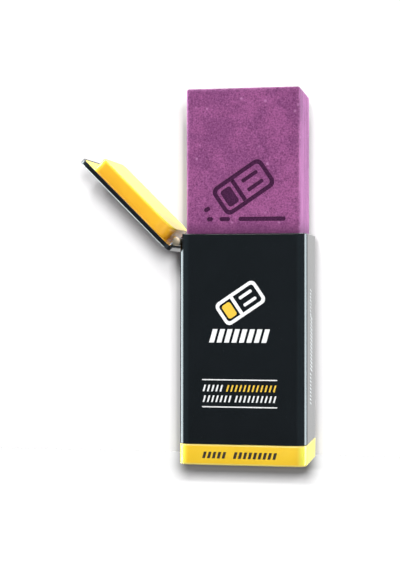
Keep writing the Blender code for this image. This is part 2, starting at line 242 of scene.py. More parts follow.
class Value:
    """What a node gives, as a thing to reckon with."""
    def __init__(self, tree, socket):
        self.tree, self.socket = tree, socket

    def through(self, kind, inputs, output=0, **settings):
        """Leads this value into the first input of a new node."""
        return Value(self.tree, put(self.tree, kind, {0: self, **inputs}, **settings).outputs[output])

    def sum(self, operation, *other):
        kind = "ShaderNodeVectorMath" if self.socket.type == 'VECTOR' else "ShaderNodeMath"
        gives_number = operation in ('LENGTH', 'DOT_PRODUCT')
        return self.through(kind, dict(enumerate(other, 1)), int(gives_number), operation=operation)

    def __add__(self, other):
        return self.sum('ADD', other)

    def __sub__(self, other):
        return self.sum('SUBTRACT', other)

    def __mul__(self, other):
        return self.sum('MULTIPLY', other)

    def on(self, axis):
        return self.through("ShaderNodeSeparateXYZ", {}, axis)

    def spread(self, low, high, to_low=0.0, to_high=1.0, kind='LINEAR'):
        """Stretches one range over another, and stops at its ends."""
        return self.through("ShaderNodeMapRange", {1: low, 2: high, 3: to_low, 4: to_high},
                            interpolation_type=kind)

    def ramp(self, *ranges):
        """The same with soft ends."""
        return self.spread(*ranges, kind='SMOOTHSTEP')

    def choose(self, first, second):
        return self.through("ShaderNodeMix", {2: first, 3: second}, data_type='FLOAT')

    def mix(self, first, second):
        """Mixes two colours, each a Value or three numbers, by this value."""
        pair = [colour if isinstance(colour, Value) else (*colour, 1.0) for colour in (first, second)]
        return self.through("ShaderNodeMix", {6: pair[0], 7: pair[1]}, 2, data_type='RGBA')

    def noise(self, scale, detail=2.0, roughness=0.5, distortion=0.0):
        return self.through("ShaderNodeTexNoise", {"Scale": scale, "Detail": detail, "Roughness": roughness,
                                                   "Distortion": distortion})

    def specks(self, scale):
        """The distance to the nearest of many scattered points."""
        return self.through("ShaderNodeTexVoronoi", {"Scale": scale}, feature='F1')


def source(tree, kind, output=0, **settings):
    return Value(tree, put(tree, kind, **settings).outputs[output])


def merge(tree, x=0.0, y=0.0, z=0.0):
    return Value(tree, put(tree, "ShaderNodeCombineXYZ", {0: x, 1: y, 2: z}).outputs[0])


def most(first, *rest):
    for value in rest:
        first = first.sum('MAXIMUM', value)
    return first

# %% [markdown]
# A Geometry Nodes tree is grown on an empty mesh, with each input set by its socket's identifier, and what
# grew is turned into a plain mesh. Ribs, rivets and printed strokes all repeat along a line, so their trees
# share the inputs of a row and end in the same way.

# %% Geometry Nodes helpers
def new_tree(name, sizes):
    """A Geometry Nodes tree with named inputs, and the values that they give."""
    tree = bpy.data.node_groups.new(name, 'GeometryNodeTree')
    kinds = {float: 'NodeSocketFloat', int: 'NodeSocketInt', tuple: 'NodeSocketVector'}
    for label, value in sizes.items():
        kind = kinds.get(type(value), 'NodeSocketMaterial')
        socket = tree.interface.new_socket(name=label, in_out='INPUT', socket_type=kind)
        if value is not None:
            socket.default_value = value
    tree.interface.new_socket(name="Geometry", in_out='OUTPUT', socket_type='NodeSocketGeometry')
    return tree, {socket.name: Value(tree, socket) for socket in tree.nodes.new("NodeGroupInput").outputs}


def end_tree(tree, geometry, finish):
    realized = put(tree, "GeometryNodeRealizeInstances", {0: geometry})
    painted = put(tree, "GeometryNodeSetMaterial", {"Geometry": realized.outputs[0], "Material": finish})
    put(tree, "NodeGroupOutput", {0: painted.outputs[0]})


ROW = {"Count": 2, "First": (0.0, 0.0, 0.0), "Step": (0.0, 0.0, 0.0)}


def end_row(tree, given, instance, **turned):
    """Sets an instance at each point of a line and ends the tree."""
    line = put(tree, "GeometryNodeMeshLine", {"Count": given["Count"], "Start Location": given["First"],
                                              "Offset": given["Step"]})
    row = put(tree, "GeometryNodeInstanceOnPoints", {"Points": line.outputs[0], "Instance": instance, **turned})
    end_tree(tree, row.outputs[0], given["Finish"])


def grow(name, tree, **sizes):
    """Runs a tree with these sizes and keeps its result as a plain mesh."""
    made = new_object(name, bpy.data.meshes.new(name))
    step = made.modifiers.new(name, 'NODES')
    step.node_group = tree
    for item in tree.interface.items_tree:
        label = item.name.lower().replace(" ", "_")
        if item.in_out == 'INPUT' and label in sizes:
            step[item.identifier] = sizes.pop(label)
    if sizes:
        raise ValueError(f"{tree.name} has no input {sorted(sizes)}")
    settle(made)
    finishes = [finish for finish in made.data.materials if finish]
    made.data.materials.clear()
    for finish in finishes[:1]:
        made.data.materials.append(finish)
    made.data.polygons.foreach_set("material_index", [0] * len(made.data.polygons))
    return made


# %% [markdown]
# ## The camera
#
# The camera stands level, a little to the right of the middle, and looks past the case's right side. Its
# place and its lens come from fitting the corners of the case and the eraser in the photograph.

# %% Camera
FRAME_HEIGHT = 570
FOCAL_PIXELS = 1385
CAMERA_PLACE = Vector((0.0770, -0.4916, 0.0629))
CAMERA_TURN = radians(10.93)

camera_data = bpy.data.cameras.new("camera")
camera_data.sensor_fit = 'VERTICAL'
camera_data.sensor_width = camera_data.sensor_height = 36.0
camera_data.lens = FOCAL_PIXELS * camera_data.sensor_height / FRAME_HEIGHT
camera = bpy.data.objects.new("camera", camera_data)
camera.location = CAMERA_PLACE
camera.rotation_euler = (pi / 2, 0.0, CAMERA_TURN)
bpy.context.scene.collection.objects.link(camera)
bpy.context.scene.camera = camera
bpy.context.scene.view_settings.view_transform = 'Standard'
print("lens", round(camera_data.lens, 1), "mm")

# %% [markdown]
# ## The studio
#
# Gloss black plastic shows only what it reflects, so the studio is built from what it should show. Two
# large softboxes stand at the sides, a little behind the object: they draw the pale cool strips down the
# rounded corners. A key light hangs over the camera, too high for the flat front to reflect it, so the front
# stays deep black while the eraser and the yellow plastic get their full colour. A light overhead and behind
# draws the pale line along the rim and lights the open lid. Three weak fills lift matt colours only, since
# the gloss doesn't see them. A softbox's power is its radiance times pi times its area.

# %% Lamps
def softbox(name, place, target, width, height, radiance, colour=(1.0, 1.0, 1.0), in_gloss=True):
    data = bpy.data.lights.new(name, 'AREA')
    data.shape = 'RECTANGLE'
    data.size = width
    data.size_y = height
    data.energy = radiance * pi * width * height
    data.color = colour
    lamp = bpy.data.objects.new(name, data)
    lamp.location = place
    lamp.rotation_euler = (Vector(target) - Vector(place)).to_track_quat('-Z', 'Y').to_euler()
    lamp.visible_camera = False
    lamp.visible_glossy = in_gloss
    bpy.context.scene.collection.objects.link(lamp)
    print(name, "gives", round(data.energy, 2), "W")
    return lamp


def around(degrees, height, distance=0.50):
    """A place at this many degrees from straight in front, counted towards the right."""
    return distance * sin(radians(degrees)), -distance * cos(radians(degrees)), height


COOL = (0.83, 0.955, 1.0)
object_lamps = [
    softbox("right_softbox", around(117, 0.12), (0.0, 0.0, 0.12), 0.38, 0.40, 8.5, COOL),
    softbox("left_softbox", around(-95, 0.22), (0.0, 0.0, 0.22), 0.38, 0.62, 11.0, COOL),
    softbox("key_softbox", (0.0, -0.83, 0.42), (0.0, 0.0, 0.08), 0.36, 0.24, 12.0),
    softbox("top_softbox", (0.0, 0.28, 0.75), (0.0, 0.0, 0.05), 0.60, 0.50, 11.0),
    softbox("low_fill", (0.05, -0.30, 0.01), (0.0, FRONT, 0.008), 0.20, 0.06, 5.2, in_gloss=False),
    softbox("left_fill", around(-60, 0.06), (0.0, 0.0, 0.04), 0.20, 0.20, 4.0, in_gloss=False),
    softbox("right_fill", around(65, 0.06), (0.0, 0.0, 0.04), 0.20, 0.20, 4.0, in_gloss=False),
]

# %% [markdown]
# The white ground has lamps of its own, as a product shot often has. Each is small and far off, so that the
# shadows stay close round the object: one lamp for the soft edge on the right, one for the shadow under the
# open lid, one for the edge on the left, and one overhead for the shadow on the floor in front.

# %% Lamps for the ground
GROUND_COLOUR = 0.25
AWAY = 1.5
SHEET_Y = BACK + 0.004


def radiance_for(share, width, height, facing=1.0):
    """What a lamp 1.5 m away has to give, so that the ground reaches this share of white."""
    return share / GROUND_COLOUR * pi * AWAY ** 2 / (width * height * facing)


def sheet_lamp(name, aim_x, degrees, lift, width, height, share):
    """A lamp aimed at the sheet behind the object, at half the height of the eraser. Angles are in degrees."""
    x, y, z = around(degrees, AWAY * sin(radians(lift)), AWAY * cos(radians(lift)))
    size = [2 * AWAY * sin(radians(angle) / 2) for angle in (width, height)]
    facing = cos(radians(lift)) * cos(radians(degrees))
    aim = (aim_x, SHEET_Y, 0.06)
    return softbox(name, (aim[0] + x, aim[1] + y, aim[2] + z), aim, *size, radiance_for(share, *size, facing))


sheet_lamps = [
    sheet_lamp("sheet_right_edge", RIGHT, -2.0, 14.0, 5.0, 11.0, 0.32),
    sheet_lamp("sheet_under_lid", RIGHT, 8.0, 17.0, 3.2, 11.0, 0.27),
    sheet_lamp("sheet_left_edge", 1.4 * LEFT, 16.0, 4.0, 5.5, 9.0, 0.43),
]
FLOOR_LAMP_SIZE = (0.12, 0.30)
floor_lamp = softbox("floor_overhead", (-0.045, 0.30, AWAY), (-0.045, 0.30, 0.0), *FLOOR_LAMP_SIZE,
                     radiance_for(0.90, *FLOOR_LAMP_SIZE))

# %% [markdown]
# The world gives every camera ray pure white. Reflections see a softer room: white straight behind the
# object, overhead and underfoot, brighter low on the left, dim where the camera stands, and with a faint
# cool tone at the front corners. Matt surfaces get an even fill.

# %% World
FILL = 0.40
LOW_LEFT_GAIN = 2.6
BRIGHT_PART, FLANK_PART, DIM_PART = 0.78, 0.20, 0.12
FLANK_TINT = (0.72, 0.90, 1.0)

world = bpy.data.worlds.new("studio")
world.use_nodes = True
sky = world.node_tree
sky.nodes.clear()
heading = source(sky, "ShaderNodeTexCoord", "Generated")
seen, in_gloss, through_glass = [source(sky, "ShaderNodeLightPath", output)
                                 for output in ("Is Camera Ray", "Is Glossy Ray", "Is Transmission Ray")]


def towards(axis, *ranges):
    """How far a direction leans along an axis."""
    return heading.on(axis).ramp(*ranges)


behind = towards("X", -0.21, -0.09) * towards("X", 0.28, 0.16) * towards("Y", -0.1, 0.6)
overhead = towards("Z", 0.07, 0.24) * towards("Y", -0.5, 0.5, 0.35, 1.0)
flank = most(towards("X", -0.24, -0.46), towards("X", 0.02, 0.30)) * towards("Y", 0.1, -0.4)
low_left = towards("X", -0.25, -0.50) * towards("Z", -0.08, -0.30) * towards("Y", -0.3, 0.1)
bright = most(behind, overhead, towards("Z", -0.35, -0.75), low_left * LOW_LEFT_GAIN)
room = bright * BRIGHT_PART + flank * FLANK_PART + DIM_PART
strength = most(seen, through_glass).choose(in_gloss.choose(FILL, room), 1.0)
tone = (flank * in_gloss).mix((1.0, 1.0, 1.0), FLANK_TINT)
background = put(sky, "ShaderNodeBackground", {"Color": tone, "Strength": strength})
put(sky, "ShaderNodeOutputWorld", {"Surface": background.outputs[0]})
bpy.context.scene.world = world
print("world has", len(sky.nodes), "nodes")

# %% [markdown]
# The floor is matt and keeps the shadow. Away from the object it gives the camera plain white, so no
# horizon shows. Behind the object hangs a sheet of the same kind that keeps the lid's shadow. The sheet is
# one-sided: seen from behind it is clear, and it blocks no light. Close beside the object both carry a painted
# shadow, a darker grey in their colour, and the sheet is white in the strip that the object hides from the
# front. Light linking gives each of them its own lamps, and keeps the object's lamps off both.

# %% Floor and backdrop
MATT_LOSS = 0.85         # where the ground turns to plain white, its matt part loses this share
GREEN_PART = 0.99        # the ground's grey has a touch less green
# Painted shadow: close beside the object, the sheet's grey is darkened by this share.
BESIDE_PAINTED_SHADE = 0.26       # close beside the object, the sheet loses this share


def white_ground(name, reaches, glow=0.0, painted_shades=(), hidden=None):
    """A matt grey under strong lamps, so it is white where no shadow falls. For the camera it also turns to
    plain white, between two distances from the object along each direction that is listed. A painted shadow
    can darken its grey to a share of itself between two places on an axis. For the sheet, hidden gives the left
    and the right end of the strip that the object hides, each below and above the rim."""
    made = bpy.data.materials.new(name)
    made.use_nodes = True
    tree = made.node_tree
    tree.nodes.clear()
    place = source(tree, "ShaderNodeTexCoord", "Object")
    own = None
    for way, near, far in reaches:
        share = place.sum('DOT_PRODUCT', way).ramp(near, far, glow)
        own = own + share - own * share if own else share
    shade = source(tree, "ShaderNodeValue")
    shade.socket.default_value = GROUND_COLOUR
    # Painted shadow: each entry darkens the ground's grey between two places on an axis.
    for axis, start, end, least in painted_shades:
        shade *= place.on(axis).ramp(start, end, 1.0, least)
    if hidden:
        left, right = [place.on("Z").ramp(RIM - 0.002, RIM + 0.002, *ends) for ends in hidden]
        from_left, from_right = place.on("X") - left, right - place.on("X")
        own = most(own, from_left.ramp(0.0, 0.0035) * from_right.ramp(0.0, 0.0025))
        # Painted shadow: the sheet's grey is darker over the hidden strip and a narrow band just outside it, up
        # to a little below the eraser's top.
        beside = (from_left.ramp(-0.0046, -0.0030) * from_right.ramp(-0.0024, 0.0)
                  * place.on("Z").ramp(BLOCK[1].z - 0.004, BLOCK[1].z - 0.011))
        shade *= beside * -BESIDE_PAINTED_SHADE + 1.0
    strength = own * source(tree, "ShaderNodeLightPath", "Is Camera Ray")
    shade *= strength * -MATT_LOSS + 1.0
    matt = put(tree, "ShaderNodeBsdfDiffuse", {"Color": merge(tree, shade, shade * GREEN_PART, shade)})
    lit = put(tree, "ShaderNodeEmission", {"Color": (1.0, 1.0, 1.0, 1.0), "Strength": strength})
    surface = put(tree, "ShaderNodeAddShader", {0: matt.outputs[0], 1: lit.outputs[0]}).outputs[0]
    if hidden:
        hole = put(tree, "ShaderNodeBsdfTransparent").outputs[0]
        reverse = source(tree, "ShaderNodeNewGeometry", "Backfacing")
        surface = put(tree, "ShaderNodeMixShader", {0: reverse, 1: surface, 2: hole}).outputs[0]
    put(tree, "ShaderNodeOutputMaterial", {"Surface": surface})
    return made


def sheet_of(name, corners, finish):
    mesh = bpy.data.meshes.new(name)
    mesh.from_pydata(corners, [], [(0, 1, 2, 3)])
    made = new_object(name, mesh, finish)
    return made


def light_only(lamps, name, lit, unlit):
    """Light linking: these lamps light the first objects, or everything but the second ones."""
    receivers = bpy.data.collections.new(name)
    for made in lit or unlit:
        receivers.objects.link(made)
    for entry in receivers.collection_objects:
        entry.light_linking.link_state = 'INCLUDE' if lit else 'EXCLUDE'
    for lamp in lamps:
        lamp.light_linking.receiver_collection = receivers


SQUARE = ((-1, 0), (1, 0), (1, 1), (-1, 1))
FLOOR_REACH = 1.5
SHEET_REACH, SHEET_HIGH = 0.4, 0.5
# The floor's painted shadow: its grey is darker behind the foot's front line, for about 4 cm in front of the
# foot, and towards the left.
floor_white = white_ground(
    "floor_white", [((-0.979, -0.206, 0.0), 0.0217, 0.0291), ((0.994, 0.107, 0.0), 0.0200, 0.0269),
                    ((0.0, -1.0, 0.0), 0.052, 0.066), ((0.0, 1.0, 0.0), 0.024, 0.045)],
    0.03, (("Y", FRONT - 0.010, FRONT + 0.004, 0.15), ("Y", FRONT - 0.042, FRONT - 0.016, 0.80),
           ("X", -0.014, -0.022, 0.80)))
backdrop_white = white_ground(
    "backdrop_white", [((-1.0, 0.0, 0.0), 0.095, 0.125), ((1.0, 0.0, 0.0), 0.065, 0.095),
                       ((0.0, 0.0, 1.0), 0.16, 0.20)],
    hidden=((LEFT - 0.0045, LEFT - 0.0022), (RIGHT - 0.0013, RIGHT - 0.0037)))
floor = sheet_of("floor", [(FLOOR_REACH * u, FLOOR_REACH * (2 * v - 1), 0.0) for u, v in SQUARE], floor_white)
backdrop = sheet_of("backdrop", [(SHEET_REACH * u, SHEET_Y, SHEET_HIGH * v) for u, v in SQUARE], backdrop_white)
floor.visible_glossy = False
backdrop.visible_diffuse = backdrop.visible_glossy = False
backdrop.visible_transmission = backdrop.visible_shadow = False
light_only(sheet_lamps, "lit_by_sheet_lamps", [backdrop], [])
light_only([floor_lamp], "lit_by_floor_lamp", [floor], [])
light_only(object_lamps, "not_lit_by_object_lamps", [], [floor, backdrop])
print("backdrop hangs", round(1000 * SHEET_Y, 1), "mm behind the middle")

# %% [markdown]
# ## Finishes
#
# Every finish starts from the same shader and reads the place on the object in metres, so a noise scale of
# 1000 has grains of about one millimetre. Two things are in each of them, as on any real surface: a value
# that drifts from place to place, and a fine relief.

# %% Finish helpers
def new_finish(name, **values):
    """A material, its shader and the place on the object."""
    made = bpy.data.materials.new(name)
    made.use_nodes = True
    shader = made.node_tree.nodes["Principled BSDF"]
    for label, value in values.items():
        shader.inputs[label.replace("_", " ").title().replace("Ior", "IOR")].default_value = value
    return made, shader, source(made.node_tree, "ShaderNodeTexCoord", "Object")


def end_finish(shader, colour, rough, height, depth, strength=1.0, edge=0.0):
    """Links colour, roughness and a bump of a real depth in metres, over edges that look rounded."""
    inputs = {"Height": height, "Distance": depth, "Strength": strength}
    if edge:
        inputs["Normal"] = put(colour.tree, "ShaderNodeBevel", {"Radius": edge}, samples=6).outputs[0]
    normal = Value(colour.tree, put(colour.tree, "ShaderNodeBump", inputs).outputs[0])
    for label, value in (("Base Color", colour), ("Roughness", rough), ("Normal", normal)):
        if value:
            colour.tree.links.new(value.socket, shader.inputs[label])


def off_middle(place, axis):
    return place.on(axis).sum('ABSOLUTE')

# %% [markdown]
# The plastics are all the same kind of moulding: a smooth skin with a faint ripple from the tool, a finish
# that is a little less sharp where hands have been, and a few specks of dust. The black ones hide their
# colour and show their gloss. The yellow ones are satin, and their colour drifts slightly with the flow.
# Some places carry painted light in their colour: a painted highlight along the long edges of the lid's
# cover, painted light on the corners and sides of the foot's band, painted highlights along the band's top
# and bottom edges, and painted light on the end and underside of the plug. Each of these is a function that
# gives 1 there and 0 elsewhere.

# %% Moulded plastic
DUST = (0.45, 0.45, 0.43)


def moulded(name, dark, light, gloss, dull, ripple, *painted_light):
    """Two tones, the least and most roughness, the ripple's depth, and pairs of (where, tint) of painted light.
    """
    made, shader, place = new_finish(name, ior=1.5)
    colour = place.noise(45.0, 3.0, 0.6, 0.8).spread(0.35, 0.65).mix(dark, light)
    # Painted light: each pair lays a paler tint where its function gives 1.
    for where, tint in painted_light:
        colour = where(place).mix(colour, tint)
    colour = (place.specks(420.0).spread(0.035, 0.02) * 0.10).mix(colour, DUST)
    handled = place.noise(75.0, 4.0, 0.65).spread(0.35, 0.75, gloss, dull)
    end_finish(shader, colour, handled, place.noise(650.0, 2.0, 0.4), ripple, 1.0, 0.00012)
    return made


def in_lid(place):
    """How far along the lid and how far up from the hinge axis a place is, with the lid shut."""
    off = place - tuple(LID_AXIS)
    return [off.sum('DOT_PRODUCT', (-cos(pi - LID_OPEN), 0.0, way * sin(LID_OPEN))) for way in (1, -1)]


# Painted highlight: a pale line along the long edges of the cover's top, paler towards the far end.
def painted_cover_edge_highlight(place):
    along, up = in_lid(place)
    on_top = up.spread(LID_TOP - 0.00036, LID_TOP - 0.00022)
    at_side = off_middle(place, "Y").spread(BACK - 0.0007, BACK - 0.0004)
    return on_top * at_side * along.spread(0.0, PLUG_FAR, 0.75, 1.0)


# Painted light: the plug's far end and underside are paler, as if strongly lit.
def painted_plug_light(place):
    along, up = in_lid(place)
    return most(along.ramp(PLUG_FAR - 0.0028, PLUG_FAR - 0.0010), up.ramp(PLUG_LOW + 0.0010, PLUG_LOW + 0.0002))


# Painted light: the band's corners and sides are a paler lemon, as if more strongly lit.
def painted_band_side_light(place):
    return off_middle(place, "X").ramp(RIGHT - 0.0036, RIGHT - 0.0013)


# Painted highlights: pale lines along the band's top and bottom edges.
def painted_band_edge_highlights(place):
    height = place.on("Z")
    return most(height.spread(BAND_TOP - 0.0006, BAND_TOP - 0.0004),
                height.spread(FOOT_LOW + 0.0008, FOOT_LOW + 0.0005))


BLACK = ((0.0052, 0.0078, 0.0098), (0.0064, 0.0092, 0.0116), 0.06, 0.10, 0.0000015)
case_plastic = moulded("black_gloss_plastic", *BLACK)
cover_plastic = moulded("black_gloss_cover", *BLACK, (painted_cover_edge_highlight, (0.60, 0.65, 0.63)))
band_plastic = moulded("yellow_satin_plastic", (0.96, 0.605, 0.024), (1.0, 0.645, 0.032), 0.20, 0.26, 0.0000015,
                       (painted_band_side_light, (0.94, 0.87, 0.085)), (painted_band_edge_highlights, (1.0, 0.78, 0.19)))
lining_plastic = moulded("deep_yellow_satin_plastic", (0.90, 0.47, 0.018), (0.94, 0.51, 0.026), 0.17, 0.21,
                         0.0000008, (painted_plug_light, (0.93, 0.82, 0.06)))
print("plastics:", case_plastic.name, cover_plastic.name, band_plastic.name, lining_plastic.name)

# %% [markdown]
# The eraser is a block of crumbly rubber that feels like suede. Its purple is cloudy, with patches a
# centimetre wide, and a grain finer than half a millimetre lies over it, with pale flecks and slanted dark
# streaks. Its sides keep the marks of the saw, and are also made lighter overall, as painted light. A
# painted shade darkens it round the rim. Handling has paled its edges, which the mesh marks with an
# attribute, and the mark pressed into the front is burnt dark.
# The mark's floor lies deeper than anything else on the front, so the depth itself can colour it.

# %% Eraser rubber
MARK_DEPTH = 0.0006
MARK_PLACE = Vector((0.0002, BLOCK[0].y, 0.0954))
MARK_SCALE = 0.00143     # metres for each unit of the drawing
MARK_HALF = {"X": 0.0158, "Z": 0.0130}
SUEDE = {
    "light": (0.300, 0.082, 0.231), "dark": (0.212, 0.055, 0.172), "pits": (0.112, 0.029, 0.092),
    "tips": (0.44, 0.155, 0.365), "flecks": (0.58, 0.27, 0.50), "streaks": (0.150, 0.044, 0.130),
    "sawn_dark": (0.150, 0.044, 0.120), "sawn_marks_and_painted_side_light": (0.54, 0.190, 0.430), "worn": (0.50, 0.20, 0.41),
    "burnt": (0.075, 0.016, 0.066), "burnt_dark": (0.045, 0.009, 0.042)}


def suede_rubber():
    made, shader, place = new_finish("purple_suede_rubber", roughness=0.95, sheen_weight=0.08,
                                     sheen_roughness=0.5, specular_ior_level=0.2)
    height, depth = place.on("Z"), place.on("Y")
    grain = place.noise(1750.0, 3.0, 0.65)
    grainy = (place.noise(120.0, 4.0, 0.6, 0.8) * 0.55 + place.noise(46.0, 2.0, 0.5, 0.4) * 0.45
              + (grain - 0.5) * 0.22)
    leaning = (place + merge(made.node_tree, height * -0.30)) * (1.0, 1.0, 0.06)
    sawn = (place * (1.0, 1.0, 0.07)).noise(420.0, 4.0, 0.75)
    beside = off_middle(place, "X").sum('GREATER_THAN', BLOCK[1].x - 0.0006)
    # Painted shade: darker from about 6 mm above the rim down to just below it.
    painted_rim_shade = height.ramp(RIM + 0.0060, RIM) * height.spread(RIM - 0.0060, RIM - 0.0020)
    worn = source(made.node_tree, "ShaderNodeAttribute", "Fac", attribute_name="worn")
    colour = grainy.ramp(0.40, 0.62).mix(SUEDE["light"], SUEDE["dark"])
    for share, tint in ((grain.spread(0.50, 0.70, 0.0, 0.85), "pits"),
                        (grain.spread(0.48, 0.30, 0.0, 0.45), "tips"),
                        (place.specks(200.0).spread(0.13, 0.05, 0.0, 0.45), "flecks"),
                        (leaning.noise(300.0, 1.0).spread(0.715, 0.76, 0.0, 0.35), "streaks"),
                        (beside * sawn.spread(0.50, 0.66, 0.0, 0.42), "sawn_dark"),
                        # Saw marks and painted light: pale saw streaks that also make the whole side lighter.
                        (beside * sawn.spread(0.56, 0.36, 0.10, 0.70), "sawn_marks_and_painted_side_light"),
                        (painted_rim_shade * 0.55, "pits"),
                        (worn * place.noise(700.0, 3.0, 0.6).spread(0.35, 0.65, 0.0, 0.45), "worn")):
        colour = share.mix(colour, SUEDE[tint])
    off = (place - tuple(MARK_PLACE)).sum('ABSOLUTE')
    sunk = (depth.ramp(BLOCK[0].y + 0.35 * MARK_DEPTH, BLOCK[0].y + 0.75 * MARK_DEPTH)
            * depth.sum('LESS_THAN', BLOCK[0].y + 1.6 * MARK_DEPTH))
    for axis, reach in MARK_HALF.items():
        sunk *= off.on(axis).sum('LESS_THAN', reach)
    colour = sunk.mix(colour, grain.spread(0.4, 0.6).mix(SUEDE["burnt"], SUEDE["burnt_dark"]))
    end_finish(shader, colour, None, grain * 0.7 + place.noise(900.0) * 0.3, 0.00030, 0.8)
    return made


eraser_rubber = suede_rubber()
print("eraser finish has", len(eraser_rubber.node_tree.nodes), "nodes")

# %% [markdown]
# Rolled steel keeps fine lines along the way it was rolled, and a turned piece keeps rings round its axis.
# Both are noise, drawn out in one direction: along Y for the leaves, and round the hinge axis for the pin,
# where the distance from the axis takes the place of a coordinate. Where a leaf lies in the case's pocket, a
# painted shade darkens its colour, darkest and brownest round the knuckles. Ink is a little thin in places.

# %% Steel and ink
# Colours of the painted shade on a leaf in the pocket: bluish below, dark brown round the knuckles.
POCKET_SHADE, KNUCKLE_SHADE = (0.040, 0.042, 0.046), (0.028, 0.014, 0.004)


def painted_pocket_shade(place):
    """1 where a leaf lies in the case's pocket, with the colour of the painted shade there."""
    knuckle = place.on("Z").spread(LID_AXIS.z - 0.0034, LID_AXIS.z - 0.0026)
    return place.on("X").spread(LID_AXIS.x + 0.0003, LID_AXIS.x + 0.0008), knuckle.mix(POCKET_SHADE, KNUCKLE_SHADE)


def steel(name, sharp, dull, clean, stained, turned_about=None, painted_shade=None):
    made, shader, place = new_finish(name, metallic=1.0)
    if turned_about:
        off = place - turned_about
        reach = (off * (1.0, 0.0, 1.0)).sum('LENGTH')
        lines = merge(made.node_tree, reach, off.on("Y")).noise(9000.0, 2.0, 0.6)
    else:
        lines = (place * (1.0, 0.02, 1.0)).noise(7000.0, 3.0, 0.6)
    colour = place.noise(500.0, 3.0, 0.6).spread(0.35, 0.7).mix(clean, stained)
    shine = lines.spread(0.3, 0.7, sharp, dull)
    # Painted shade: in the pocket, the leaf's colour is darkened and its finish is dulled.
    if painted_shade:
        share, tint = painted_shade(place)
        colour = share.mix(colour, tint)
        shine = most(shine, share * 0.6)
    end_finish(shader, colour, shine, lines, 0.00001, 0.6, 0.0001)
    return made


def ink(name, colour, thin):
    made, shader, place = new_finish(name)
    screen = place.noise(2600.0, 2.0, 0.6)
    end_finish(shader, screen.spread(0.5, 0.75).mix(colour, thin), screen.spread(0.3, 0.7, 0.35, 0.5), screen,
               0.000004)
    return made


leaf_steel = steel("rolled_steel", 0.24, 0.40, (0.58, 0.62, 0.66), (0.46, 0.48, 0.50), painted_shade=painted_pocket_shade)
pin_steel = steel("turned_steel", 0.30, 0.44, (0.50, 0.41, 0.30), (0.34, 0.27, 0.19), tuple(LID_AXIS))
inks = {"white": ink("white_ink", (0.86, 0.86, 0.86), (0.74, 0.74, 0.75)),
        "yellow": ink("yellow_ink", (0.86, 0.54, 0.035), (0.76, 0.47, 0.035)),
        "dark": ink("dark_ink", (0.030, 0.022, 0.016), (0.060, 0.042, 0.020))}
print("metals and inks:", leaf_steel.name, pin_steel.name, *[finish.name for finish in inks.values()])

# %% [markdown]
# ## The case sleeve
#
# The real sleeve is a tube moulded in black plastic. Here it is one loft that runs up the outside, over the
# rim, down the inside and back to its start, so the wall is closed and even. Booleans then cut the groove
# that the rolled barrel lies in and the pocket that the steel leaf lies in, from the CAD's own boxes, and
# small notches at both ends of the groove, where the heads of the pin turn.

# %% Case sleeve
RIM_EDGE = 0.00032
SLEEVE_EDGE = 0.00012
sleeve_path = (quarter(SLEEVE_EDGE, SLEEVE_LOW + SLEEVE_EDGE, SLEEVE_EDGE, 270, 180)
               + quarter(RIM_EDGE, RIM - RIM_EDGE, RIM_EDGE, 180, 90)
               + quarter(WALL - RIM_EDGE, RIM - RIM_EDGE, RIM_EDGE, 90, 0)
               + quarter(WALL - SLEEVE_EDGE, SLEEVE_LOW + SLEEVE_EDGE, SLEEVE_EDGE, 0, -90))
sleeve = loft("sleeve", rings_of(sleeve_path, LEFT + INK, RIGHT - INK, BACK - INK, CORNER, CORNER),
              case_plastic, ring_closed=True)

BARREL = (PIN[1].x - PIN[0].x) / 2
RUN_GAP = 0.0003
HEAD_START = LEAF[1].y + GAP
NOTCH, NOTCH_DEEP, NOTCH_WIDTH = 0.0012, 0.0019, 0.0013
NOTCH_LOW = LID_AXIS.z - 0.0024
NOTCH_SLOPE = 1.2
carve(sleeve, turned_rod("groove", [(y, BARREL + RUN_GAP) for y in (FRONT - PAST, BACK + PAST)], 40))
carve(sleeve, block("pocket", (LEAF[0].x - PAST, LEAF[0].y - GAP, LEAF[0].z - GAP),
                    (LEAF[1].x + GAP, LEAF[1].y + GAP, RIM + PAST)))
for inward, y0, y1 in ((NOTCH, FRONT - PAST, RUN_GAP - HEAD_START), (NOTCH, HEAD_START - RUN_GAP, BACK + PAST),
                       (NOTCH_DEEP, FRONT - PAST, FRONT + NOTCH_WIDTH),
                       (NOTCH_DEEP, BACK - NOTCH_WIDTH, BACK + PAST)):
    outline = [(LEFT - PAST, RIM + PAST), (LEFT + inward, RIM + PAST), (LEFT + inward, NOTCH_LOW),
               (LEFT - PAST, NOTCH_LOW - NOTCH_SLOPE * (inward + PAST))]
    carve(sleeve, loft("notch", [[(x, y, z) for x, z in outline] for y in (y0, y1)]))
smooth(sleeve)
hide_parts("case_sleeve")
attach(sleeve, "case")
print("sleeve has", len(sleeve.data.polygons), "faces")

# %% [markdown]
# ## The yellow foot
#
# The foot is a shallow cup. Its band is flush with the sleeve, and a spigot goes up inside the sleeve. One
# loft walks from the middle of the underside, round the foot's edge, up the band, in to the spigot, over it
# and down to the floor inside. The ribs inside repeat, so Geometry Nodes make them: a row of thin plates
# across, and a second row turned the other way.

